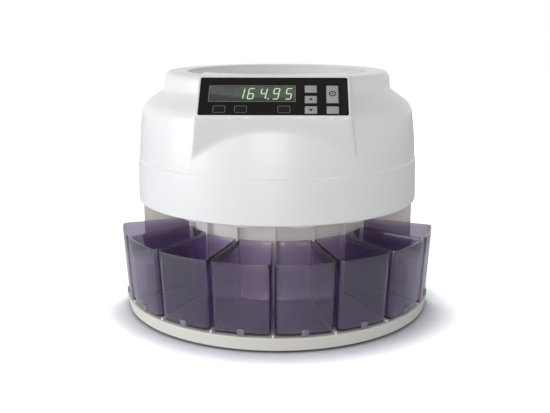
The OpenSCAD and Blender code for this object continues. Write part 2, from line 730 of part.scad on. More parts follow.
// Centre of a back corner, hidden inside the bay wall's circle
function back_corner(k, side, w, r) =
  let (a = gap_angle(side < 0 ? k - 4 : k - 3), off = drawer_gap / 2 + w + r,
       p = fan_point - side * off * fan_normal(a) - [0, bay_back])
  [0, bay_back] + on_circle(p, fan_dir(a), drawer_in_r - 5);
module drawer_slice(k, w, reach, z) {
  r = max(0.5, drawer_corner - w);
  a = front_corner(k, -1, w, reach, r);
  b = front_corner(k, 1, w, reach, r);
  from = atan2(a[1], a[0]);
  to = atan2(b[1], b[0]);
  steps = 5;
  for (i = [0 : steps]) {
    t = from + (to - from) * i / steps;
    translate([(reach - w - r) * cos(t), (reach - w - r) * sin(t), z]) cylinder(r = r, h = 0.01, $fn = 32);
  }
  for (side = [-1, 1]) translate([back_corner(k, side, w, 0.5)[0], back_corner(k, side, w, 0.5)[1], z])
    cylinder(r = 0.5, h = 0.01, $fn = 16);
}
module drawer_solid(k, w, z0, z1) difference() {
  hull() {
    drawer_slice(k, w, front_reach - drawer_lean * (drawer_top - z0) / drawer_h, z0);
    drawer_slice(k, w, front_reach - drawer_lean * (drawer_top - z1) / drawer_h, z1);
  }
  translate([0, bay_back, z0 - 1]) cylinder(r = drawer_in_r + w, h = z1 - z0 + 2);
}
module drawer(k) color(SMOKE) at_axis() {
  difference() {
    drawer_solid(k, 0, drawer_z, drawer_top - 0.01);
    drawer_solid(k, drawer_wall, drawer_z + drawer_wall, drawer_top + 1);
  }
  d = fan_dir(drawer_angle(k));
  front = on_circle(fan_point, d, front_reach - drawer_lean);
  translate([front[0], front[1], drawer_z + 1]) rotate([0, 0, drawer_angle(k)])
    translate([-tab_w / 2, -tab_t, 0]) cube([tab_w, tab_t + 0.8, tab_h]);
}
module drawer_1() drawer(0);
module drawer_2() drawer(1);
module drawer_3() drawer(2);
module drawer_4() drawer(3);
module drawer_5() drawer(4);
module drawer_6() drawer(5);
module drawer_7() drawer(6);
module drawer_8() drawer(7);

// ---- Electrics ----
module main_board() color(BOARD) at_axis() translate([main_at[0], main_at[1], base_top + main_lift]) {
  box(main_size[0], main_size[1], board_t);
  for (c = [[-18, -8, 14, 14, 3], [10, -10, 22, 8, 2.5], [-22, 16, 10, 10, 12], [4, 14, 16, 12, 9],
            [26, 12, 8, 20, 7]])
    translate([c[0], c[1], board_t]) box(c[2], c[3], c[4]);
}
module power_supply() color(GREY) at_axis() translate([supply_at[0], supply_at[1], base_top]) difference() {
  box(supply_size[0], supply_size[1], supply_size[2]);
  for (i = [-4 : 4]) translate([i * supply_size[0] / 12, 0, supply_size[2] - 2])
    box(2.4, supply_size[1] - 14, 3);
}
inlet_w = 26.6;
inlet_h = 19.6;
module power_inlet() color(BLACK) at_axis() translate([inlet_x, back_panel_y, inlet_z]) difference() {
  union() {
    translate([0, 1, -inlet_h / 2 - 2]) box(inlet_w + 4, 2, inlet_h + 4);
    translate([0, -10, -inlet_h / 2]) box(inlet_w, 20, inlet_h);
  }
  translate([0, -6.5, -inlet_h / 2 + 1.8]) box(inlet_w - 3.6, 18, inlet_h - 3.6);
}
module inlet_pins() color(STEEL) at_axis() for (p = [[-7, -1.5], [0, 3], [7, -1.5]])
  translate([inlet_x + p[0], back_panel_y - 10.5, inlet_z + p[1] - 3]) box(2, 10, 6);
frame_w = rocker_w + 5;
frame_h = 2 * rocker_r + 5;
rocker_y = back_panel_y - rocker_r + 3.2;
module rocker_frame() color(BLACK) at_axis() difference() {
  union() {
    translate([rocker_x, back_panel_y + 0.75, rocker_z - frame_h / 2 - 2]) box(frame_w + 4, 1.5, frame_h + 4);
    translate([rocker_x, back_panel_y - 8, rocker_z - frame_h / 2]) box(frame_w, 16, frame_h);
  }
  translate([rocker_x, back_panel_y - 6, rocker_z - rocker_r - rocker_gap])
    box(rocker_w + 2 * rocker_gap, 18, 2 * (rocker_r + rocker_gap));
  translate([rocker_x, rocker_y, rocker_z]) rotate([0, 90, 0])
    cylinder(r = rocker_pivot_r + 0.05, h = rocker_w + 4, center = true, $fn = 32);
}
module power_rocker() color(BLACK) at_axis() translate([rocker_x, rocker_y, rocker_z]) {
  difference() {
    rotate([0, 90, 0]) cylinder(r = rocker_r, h = rocker_w, center = true);
    rotate([-rocker_rest, 0, 0]) {
      for (s = [-1, 1]) rotate([s * 10, 0, 0]) translate([-rocker_w, rocker_r - 2.6, s > 0 ? 0 : -20])
        cube([2 * rocker_w, 20, 20]);
      translate([-rocker_w, -24, -20]) cube([2 * rocker_w, 20, 40]);
    }
  }
  rotate([0, 90, 0]) cylinder(r = rocker_pivot_r, h = rocker_w + 3, center = true, $fn = 32);
}
module data_port() color(BLACK) at_axis() translate([port_x, back_panel_y, port_z]) difference() {
  translate([0, 1 - port_l / 2, -port_h / 2]) box(port_w, port_l, port_h);
  translate([0, 0, -port_h / 2 + 1.6]) box(port_w - 3.2, 22, port_h - 4.4);
}

base_tray();
rubber_feet();
base_screws();
lower_housing();
deck_frame();
deck_screws();
coin_chutes();
sorting_plate();
guide_ring();
coin_sensors();
coin_disc();
sweeper_ring();
drive_shaft();
upper_bush();
lower_bush();
driven_pulley();
drive_belt();
motor_pulley();
motor();
motor_bracket();
top_cover();
hopper_funnel();
control_panel();
display_window();
display_module();
key_switches();
panel_board();
board_screws();
key_black_left();
key_black_middle();
key_black_right();
key_mode();
key_up();
key_down();
key_start();
key_clear();
drawer_1();
drawer_2();
drawer_3();
drawer_4();
drawer_5();
drawer_6();
drawer_7();
drawer_8();
main_board();
power_supply();
power_inlet();
inlet_pins();
rocker_frame();
power_rocker();
data_port();
hinge_pins();
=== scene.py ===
"""Looks of the desktop coin sorting machine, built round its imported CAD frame.

Sizes are in millimetres and become metres where a mesh is placed. X is to the
right, Y to the back and Z up, and the coin disc turns about x = 0, y = AXIS_Y.
"""

import json
import logging
import math
from contextlib import contextmanager
from dataclasses import dataclass
from enum import Enum
from typing import Iterator, Sequence

import bpy
import numpy as np
from mathutils import Euler, Matrix, Vector

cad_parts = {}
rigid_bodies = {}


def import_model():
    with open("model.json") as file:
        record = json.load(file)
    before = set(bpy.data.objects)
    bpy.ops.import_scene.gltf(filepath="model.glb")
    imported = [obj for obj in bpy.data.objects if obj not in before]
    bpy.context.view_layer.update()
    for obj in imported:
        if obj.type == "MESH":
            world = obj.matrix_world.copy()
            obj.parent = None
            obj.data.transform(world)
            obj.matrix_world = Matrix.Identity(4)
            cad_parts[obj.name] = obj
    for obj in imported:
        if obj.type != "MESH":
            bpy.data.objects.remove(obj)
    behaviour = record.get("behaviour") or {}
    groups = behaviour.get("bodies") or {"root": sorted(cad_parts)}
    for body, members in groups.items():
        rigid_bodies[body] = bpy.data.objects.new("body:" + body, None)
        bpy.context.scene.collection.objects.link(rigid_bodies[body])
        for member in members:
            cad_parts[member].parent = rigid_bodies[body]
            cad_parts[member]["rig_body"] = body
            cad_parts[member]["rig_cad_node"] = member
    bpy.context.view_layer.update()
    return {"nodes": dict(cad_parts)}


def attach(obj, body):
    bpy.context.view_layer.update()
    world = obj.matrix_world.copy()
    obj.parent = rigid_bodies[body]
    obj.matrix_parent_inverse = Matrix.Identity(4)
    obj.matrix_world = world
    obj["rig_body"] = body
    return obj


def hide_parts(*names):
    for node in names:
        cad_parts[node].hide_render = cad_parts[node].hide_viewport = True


LOG = logging.getLogger("coin_sorter")
MM = 0.001
AXIS_Y = 12.5
# Distances in mm at which points of modelled sheets and of CAD copies are merged.
SHEET_WELD = 0.004
CAD_WELD = 0.002
FLAT_DEGREES = 0.4
SHARP_DEGREES = 40
FAR = 400.0
LEAST_SPEED = 1e-4
PRINT_HEIGHT = 0.06
MOTTLE_SCALE = 14.0
MOTTLE_DETAIL = 3.0
GRAIN_DETAIL = 2.0
MOTTLE_RANGE = (0.3, 0.7)
BUMP_STRENGTH = 0.5
Colour = tuple[float, float, float]
Point = tuple[float, ...]
Array = np.ndarray
Piece = bpy.types.Object
Tree = bpy.types.NodeTree
Socket = bpy.types.NodeSocket
Input = float | Point | Socket
Inputs = dict[str | int, Input]


# ---- Modelling helpers ----
def deselect() -> None:
    """Leaves object mode with nothing selected."""
    if bpy.context.mode != "OBJECT":
        bpy.ops.object.mode_set(mode="OBJECT")
    bpy.ops.object.select_all(action="DESELECT")


def only(piece: Piece) -> None:
    """Makes one piece the active and only selected object."""
    deselect()
    piece.select_set(True)
    bpy.context.view_layer.objects.active = piece


@contextmanager
def editing(piece: Piece) -> Iterator[None]:
    """Holds a piece in edit mode, with everything in it selected at the start."""
    only(piece)
    bpy.ops.object.mode_set(mode="EDIT")
    bpy.ops.mesh.select_all(action="SELECT")
    yield
    bpy.ops.object.mode_set(mode="OBJECT")


def face_outwards() -> None:
    """Turns all faces of the piece in edit mode outwards."""
    bpy.ops.mesh.select_all(action="SELECT")
    bpy.ops.mesh.normals_make_consistent()


def named(name: str) -> Piece:
    """Names the primitive that was just added."""
    piece = bpy.context.active_object
    piece.name = piece.data.name = name
    return piece


def add_object(name: str, data: bpy.types.ID) -> Piece:
    """Adds an object with the given data to the scene."""
    piece = bpy.data.objects.new(name, data)
    bpy.context.scene.collection.objects.link(piece)
    return piece


def settle(piece: Piece) -> Piece:
    """Puts a piece's place, turn and size into its mesh."""
    only(piece)
    bpy.ops.object.transform_apply()
    return piece


def start_plane(name: str, width: float, length: float, at: Point = (0, 0, 0)) -> Piece:
    """Adds a plane of the given size along x and y in mm to model from."""
    deselect()
    bpy.ops.mesh.primitive_plane_add(size=1, location=[c * MM for c in at])
    piece = named(name)
    piece.scale = (width * MM, length * MM, 1)
    return settle(piece)


def start_ring(name: str, sides: int, radius: float, at: Point = (0, 0, 0)) -> Piece:
    """Adds a filled circle of the given radius in mm to model from."""
    deselect()
    bpy.ops.mesh.primitive_circle_add(vertices=sides, radius=radius * MM, fill_type="NGON",
                                      location=[c * MM for c in at])
    return settle(named(name))


def finish_with(piece: Piece, kind: str, **settings: object) -> None:
    """Adds one modifier of a kind, with its settings, and applies it."""
    only(piece)
    modifier = piece.modifiers.new(kind.lower(), kind)
    for key, value in settings.items():
        setattr(modifier, key, value)
    bpy.ops.object.modifier_apply(modifier=modifier.name)


def combine(piece: Piece, tool: Piece, operation: str) -> None:
    """Joins a tool to a piece or cuts it away, and removes the tool."""
    finish_with(piece, "BOOLEAN", operation=operation, object=tool, solver="EXACT")
    bpy.data.objects.remove(tool)


def smooth(piece: Piece, degrees: float = 32) -> Piece:
    """Shades a piece smooth, apart from edges sharper than the angle."""
    only(piece)
    bpy.ops.object.shade_smooth_by_angle(angle=math.radians(degrees))
    return piece


def extrude_up(piece: Piece, height: float) -> Piece:
    """Gives a flat outline its thickness by extruding it along z, in mm."""
    with editing(piece):
        bpy.ops.mesh.extrude_region_move(TRANSFORM_OT_translate={"value": (0, 0, height * MM)})
        face_outwards()
    return piece


def round_corners(piece: Piece, radius: float, steps: int = 5) -> Piece:
    """Rounds the corners of a flat outline, radius in mm."""
    with editing(piece):
        bpy.ops.mesh.bevel(offset=radius * MM, segments=steps, affect="VERTICES")
    return piece


def soften(piece: Piece, width: float, steps: int = 2) -> Piece:
    """Bevels every sharp edge, width in mm, and shades the piece smooth."""
    finish_with(piece, "BEVEL", width=width * MM, segments=steps, limit_method="ANGLE",
                angle_limit=math.radians(SHARP_DEGREES))
    return smooth(piece)


def join(name: str, parts: Sequence[Piece]) -> Piece:
    """Joins parts into one piece with its own name."""
    deselect()
    for part in parts:
        part.select_set(True)
    bpy.context.view_layer.objects.active = parts[0]
    bpy.ops.object.join()
    return named(name)


def sheet_of(name: str, rows: Array, along: bool) -> Piece:
    """Shapes a grid primitive into a surface whose rows close on themselves.

    Args:
        name: Piece name.
        rows: Points in mm, rows by columns by 3.
        along: Whether the last row closes on the first.

    Returns:
        The piece, with doubles merged.
    """
    rows = np.concatenate([rows, rows[:, :1]], axis=1)
    if along:
        rows = np.concatenate([rows, rows[:1]], axis=0)
    down, right = rows.shape[:2]
    deselect()
    bpy.ops.mesh.primitive_grid_add(x_subdivisions=right - 1, y_subdivisions=down - 1, size=1)
    piece = named(name)
    places = (rows.reshape(-1, 3) * MM).astype(np.float32)
    piece.data.vertices.foreach_set("co", places.ravel())
    with editing(piece):
        bpy.ops.mesh.remove_doubles(threshold=SHEET_WELD * MM)
        face_outwards()
    return piece


def close_ends(piece: Piece) -> Piece:
    """Fills each open end of a shell with one face."""
    with editing(piece):
        bpy.ops.mesh.select_all(action="DESELECT")
        bpy.ops.mesh.select_non_manifold()
        bpy.ops.mesh.edge_face_add()
        face_outwards()
    return piece


def moulded_copy(node: str, name: str, width: float) -> Piece:
    """Copies a CAD node, merges its triangles into clean faces and rounds its edges.

    Args:
        node: The CAD node.
        name: Name of the new piece.
        width: Edge rounding, mm.

    Returns:
        The new piece, riding on the node's body and standing for it.
    """
    source = FRAME["nodes"][node]
    piece = add_object(name, source.data.copy())
    piece.data.materials.clear()
    only(piece)
    bpy.ops.mesh.customdata_custom_splitnormals_clear()
    with editing(piece):
        bpy.ops.mesh.remove_doubles(threshold=CAD_WELD * MM)
        bpy.ops.mesh.select_all(action="SELECT")
        bpy.ops.mesh.dissolve_limited(angle_limit=math.radians(FLAT_DEGREES))
    soften(piece, width)
    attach(piece, source["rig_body"])
    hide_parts(node)
    return piece


def lay_on(piece: Piece, place: Matrix) -> Piece:
    """Moves a piece that was modelled at the origin to its place, in metres."""
    piece.matrix_world = place @ piece.matrix_world
    return settle(piece)


def shift(x: float, y: float, z: float) -> Matrix:
    """Matrix of a move to a place given in mm from the disc axis."""
    return Matrix.Translation((x * MM, (AXIS_Y + y) * MM, z * MM))


# ---- Smooth unions of rays ----
def blend_max(a: Array, b: Array, k: float) -> Array:
    """The larger of two reaches, rounded over k mm."""
    h = np.clip(0.5 + 0.5 * (a - b) / k, 0, 1)
    return b + (a - b) * h + k * h * (1 - h)


def blend_min(a: Array, b: Array, k: float) -> Array:
    """The smaller of two reaches, rounded over k mm."""
    return -blend_max(-a, -b, k)


def unit(v: Array) -> Array:
    """The direction of a vector, with a length of 1."""
    return v / np.linalg.norm(v)


def round_outline(corners: Sequence[Point], steps: int) -> Array:
    """Rounds the corners of an open outline.

    Args:
        corners: Corners as (x, y) or (x, y, radius), mm.
        steps: Segments in each rounding.

    Returns:
        Points of the rounded outline.
    """
    points = [np.array(corners[0][:2], float)]
    for before, corner, after in zip(corners, corners[1:], corners[2:]):
        b = np.array(corner[:2], float)
        if len(corner) < 3:
            points.append(b)
            continue
        r = corner[2]
        u, v = unit(np.array(before[:2]) - b), unit(np.array(after[:2]) - b)
        half = math.acos(np.clip(u @ v, -1, 1)) / 2
        p, q = b + u * r / math.tan(half), b + v * r / math.tan(half)
        o = b + unit(u + v) * r / math.sin(half)
        points.extend(o + r * unit((p - o) * (steps - i) + (q - o) * i) for i in range(steps + 1))
    points.append(np.array(corners[-1][:2], float))
    return np.array(points)


def refine(points: Array, longest: float) -> Array:
    """Adds points so that no span of an outline is longer than longest, mm."""
    out = [points[0]]
    for a, b in zip(points, points[1:]):
        count = max(1, math.ceil(np.linalg.norm(b - a) / longest))
        out.extend(a + (b - a) * i / count for i in range(1, count + 1))
    return np.array(out)


# ---- Shader nodes ----
def feed(tree: Tree, node: bpy.types.Node, inputs: Inputs) -> None:
    """Gives a node's inputs, by name or number, their values or the sockets that feed them."""
    for key, given in inputs.items():
        if isinstance(given, Socket):
            tree.links.new(given, node.inputs[key])
        else:
            node.inputs[key].default_value = given


def add_node(tree: Tree, kind: str, inputs: Inputs, **settings: object) -> bpy.types.Node:
    """Adds a shader node of a kind, with inputs as feed takes them and its settings."""
    node = tree.nodes.new(f"ShaderNode{kind}")
    for key, value in settings.items():
        setattr(node, key, value)
    feed(tree, node, inputs)
    return node


def mix_colours(tree: Tree, share: Input, first: Input, second: Input) -> Socket:
    """Mixes two colours and returns the socket of the result."""
    return add_node(tree, "Mix", {0: share, 6: first, 7: second}, data_type="RGBA").outputs[2]


def either(tree: Tree, first: Input, second: Input) -> Socket:
    """Socket that is one where the first or the second is."""
    return add_node(tree, "Math", {0: first, 1: second}, operation="MAXIMUM").outputs[0]


# ---- Finishes ----
class Grain(Enum):
    """Surface texture left by the mould or tool: noise scale per metre and bump height in mm."""

    GLOSS = (900.0, 0.004)
    SATIN = (1600.0, 0.010)
    SPARK = (2600.0, 0.022)
    BRUSHED = (700.0, 0.006)


def surface_group() -> Tree:
    """Builds the shared node group of moulding grain and mottle."""
    name = "moulding_surface"
    if name in bpy.data.node_groups:
        return bpy.data.node_groups[name]
    tree = bpy.data.node_groups.new(name, "ShaderNodeTree")
    for way, kind, labels in (
        ("INPUT", "Color", "Colour/Toned colour"), ("INPUT", "Vector", "Stretch"),
        ("INPUT", "Float", "Tone amount/Grain scale/Roughness low/Roughness high"),
        ("OUTPUT", "Color", "Colour"), ("OUTPUT", "Float", "Roughness/Height"),
    ):
        for label in labels.split("/"):
            tree.interface.new_socket(name=label, in_out=way, socket_type=f"NodeSocket{kind}")
    given = tree.nodes.new("NodeGroupInput").outputs
    place = add_node(tree, "TexCoord", {}).outputs["Object"]
    stretched = add_node(tree, "VectorMath", {0: place, 1: given["Stretch"]},
                         operation="MULTIPLY").outputs[0]
    mottle = add_node(tree, "TexNoise", {"Vector": stretched, "Scale": MOTTLE_SCALE,
                                         "Detail": MOTTLE_DETAIL}).outputs["Fac"]
    grain = add_node(tree, "TexNoise", {"Vector": stretched, "Scale": given["Grain scale"],
                                        "Detail": GRAIN_DETAIL}).outputs["Fac"]
    amount = add_node(tree, "Math", {0: mottle, 1: given["Tone amount"]},
                      operation="MULTIPLY").outputs[0]
    gloss = add_node(tree, "MapRange", {
        "Value": mottle, "From Min": MOTTLE_RANGE[0], "From Max": MOTTLE_RANGE[1],
        "To Min": given["Roughness low"], "To Max": given["Roughness high"],
    }).outputs["Result"]
    feed(tree, tree.nodes.new("NodeGroupOutput"), {
        "Colour": mix_colours(tree, amount, given["Colour"], given["Toned colour"]),
        "Roughness": gloss, "Height": grain,
    })
    return tree


@dataclass(frozen=True)
class Finish:
    """One finish of the machine, as a Principled BSDF over the moulding surface group.

    Colours are linear. Roughness runs between low and high over the surface.
    """

    name: str
    colour: Colour
    toned: Colour
    slot: str
    low: float
    high: float
    tone: float
    grain: Grain = Grain.SATIN
    metallic: float = 0.0
    coat: float = 0.0
    coat_roughness: float = 0.08
    specular: float = 0.5
    ior: float = 1.5
    transmission: float = 0.0
    smoke: Colour | None = None
    smoke_density: float = 0.0
    glow: float = 0.0
    glow_colour: Colour = (1.0, 1.0, 1.0)
    stretch: Point = (1.0, 1.0, 1.0)
    lets_light: Colour | None = None

    def material(self) -> bpy.types.Material:
        """Builds the material once and returns it each time."""
        if self.name in bpy.data.materials:
            return bpy.data.materials[self.name]
        material = bpy.data.materials.new(self.name)
        material.use_nodes = True
        tree = material.node_tree
        scale, bump_height = self.grain.value
        surface = add_node(tree, "Group", {
            "Colour": (*self.colour, 1), "Toned colour": (*self.toned, 1), "Tone amount": self.tone,
            "Grain scale": scale, "Roughness low": self.low, "Roughness high": self.high,
            "Stretch": self.stretch,
        }, node_tree=surface_group())
        bump = add_node(tree, "Bump", {"Strength": BUMP_STRENGTH, "Distance": bump_height * MM,
                                       "Height": surface.outputs["Height"]})
        feed(tree, tree.nodes["Principled BSDF"], {
            "Base Color": surface.outputs["Colour"], "Roughness": surface.outputs["Roughness"],
            "Normal": bump.outputs["Normal"], "Metallic": self.metallic, "IOR": self.ior,
            "Specular IOR Level": self.specular, "Coat Weight": self.coat,
            "Coat Roughness": self.coat_roughness, "Transmission Weight": self.transmission,
            "Emission Strength": self.glow, "Emission Color": (*self.glow_colour, 1),
        })
        result = tree.nodes["Material Output"]
        if self.smoke:
            haze = add_node(tree, "VolumeAbsorption", {"Color": (*self.smoke, 1),
                                                       "Density": self.smoke_density})
            feed(tree, result, {"Volume": haze.outputs["Volume"]})
        if self.lets_light:
            feed(tree, result, {"Surface": self.let_light_through(tree)})
        return material

    def let_light_through(self, tree: Tree) -> Socket:
        """Lets lamps and bounced light reach what is behind a clear wall."""
        clear = add_node(tree, "BsdfTransparent", {"Color": (*self.lets_light, 1)})
        path = add_node(tree, "LightPath", {}).outputs
        plastic = tree.nodes["Principled BSDF"].outputs["BSDF"]
        return add_node(tree, "MixShader", {
            0: either(tree, path["Is Shadow Ray"], path["Is Diffuse Ray"]), 1: plastic,
            2: clear.outputs["BSDF"],
        }).outputs["Shader"]

    def dress(self, piece: Piece) -> Piece:
        """Gives a piece this finish in all its slots."""
        piece.data.materials.clear()
        piece.data.materials.append(self.material())
        return piece


COVER_WHITE = Finish(
    "cover_white_plastic", (0.80, 0.80, 0.805), (0.775, 0.775, 0.78), "cover_white", 0.29, 0.31,
    0.3, Grain.GLOSS, coat=0.2, coat_roughness=0.14)
HOUSING_WHITE = Finish(
    "housing_white_plastic", (0.72, 0.70, 0.65), (0.66, 0.64, 0.59), "housing_white", 0.36, 0.46,
    0.3)
BASE_WHITE = Finish(
    "base_white_plastic", (0.72, 0.70, 0.65), (0.67, 0.65, 0.60), "housing_white", 0.34, 0.44, 0.3)
RUBBER = Finish(
    "foot_rubber", (0.03, 0.03, 0.03), (0.05, 0.05, 0.048), "rubber", 0.7, 0.85, 0.5, Grain.SPARK)
SWEEPER_RUBBER = Finish(
    "sweeper_rubber", (0.035, 0.035, 0.036), (0.05, 0.05, 0.05), "rubber", 0.55, 0.7, 0.5,
    Grain.SPARK)
STEEL = Finish(
    "plated_steel", (0.62, 0.62, 0.63), (0.52, 0.52, 0.53), "steel", 0.25, 0.38, 0.5, Grain.BRUSHED,
    metallic=1.0)
DISC_ALLOY = Finish(
    "turned_alloy", (0.72, 0.72, 0.72), (0.6, 0.6, 0.6), "alloy", 0.22, 0.34, 0.5, Grain.BRUSHED,
    metallic=1.0, stretch=(1.0, 8.0, 1.0))
BRASS = Finish(
    "pin_brass", (0.75, 0.56, 0.28), (0.6, 0.45, 0.22), "brass_pins", 0.2, 0.32, 0.5, Grain.BRUSHED,
    metallic=1.0)
BRONZE = Finish(
    "bush_bronze", (0.5, 0.32, 0.14), (0.4, 0.25, 0.11), "bronze", 0.35, 0.5, 0.5, Grain.BRUSHED,
    metallic=1.0)
BLACK_PLASTIC = Finish(
    "black_moulding", (0.02, 0.02, 0.021), (0.03, 0.03, 0.03), "black_plastic", 0.4, 0.52, 0.5,
    Grain.SPARK)
PANEL_BLACK = Finish(
    "panel_black_film", (0.0085, 0.0085, 0.0075), (0.011, 0.011, 0.010), "panel_black", 0.42, 0.5,
    0.5, specular=0.06)
KEY_BLACK = Finish(
    "key_black_film", (0.010, 0.010, 0.009), (0.013, 0.013, 0.012), "key_black", 0.38, 0.46, 0.5,
    specular=0.08)
KEY_GREY = Finish(
    "key_grey_film", (0.34, 0.34, 0.355), (0.31, 0.31, 0.325), "key_grey", 0.36, 0.45, 0.4)
LEGEND_GREY = Finish(
    "legend_grey_print", (0.20, 0.20, 0.205), (0.17, 0.17, 0.175), "key_black", 0.45, 0.55, 0.4)
LEGEND_DARK = Finish(
    "legend_dark_print", (0.012, 0.012, 0.014), (0.02, 0.02, 0.02), "key_grey", 0.45, 0.55, 0.4,
    specular=0.1)
DISPLAY_GLASS = Finish(
    "display_lens", (0.94, 0.97, 0.95), (0.92, 0.96, 0.93), "display_glass", 0.005, 0.015, 0.3,
    Grain.GLOSS, specular=0.15, transmission=1.0, lets_light=(0.85, 0.92, 0.86))
DISPLAY_BACK = Finish(
    "display_back", (0.014, 0.022, 0.015), (0.018, 0.027, 0.019), "display_glass", 0.5, 0.6, 0.5,
    specular=0.1)
DIGIT_GREEN = Finish(
    "digit_green", (0.3, 0.5, 0.25), (0.28, 0.46, 0.22), "display_glass", 0.4, 0.5, 0.3,
    glow=0.5, glow_colour=(0.72, 0.95, 0.5))
SMOKE_PLASTIC = Finish(
    "drawer_smoke_clear", (0.97, 0.955, 0.98), (0.95, 0.935, 0.965), "smoke_plastic", 0.01, 0.03,
    0.4, Grain.GLOSS, coat=1.0, coat_roughness=0.22, ior=1.33, transmission=0.985,
    smoke=(0.51, 0.38, 0.63), smoke_density=380.0, lets_light=(0.97, 0.96, 0.98))
TAB_SMOKE = Finish(
    "tab_smoke_plastic", (0.20, 0.175, 0.23), (0.17, 0.148, 0.198), "smoke_plastic", 0.4, 0.55, 0.4,
    Grain.SPARK)
BOARD_GREEN = Finish(
    "circuit_board_green", (0.02, 0.11, 0.045), (0.03, 0.15, 0.06), "circuit_board", 0.3, 0.42, 0.6,
    coat=0.3)
GREY_CASE = Finish(
    "grey_metal_case", (0.42, 0.43, 0.44), (0.36, 0.37, 0.38), "steel", 0.35, 0.48, 0.5,
    Grain.BRUSHED, metallic=0.8)


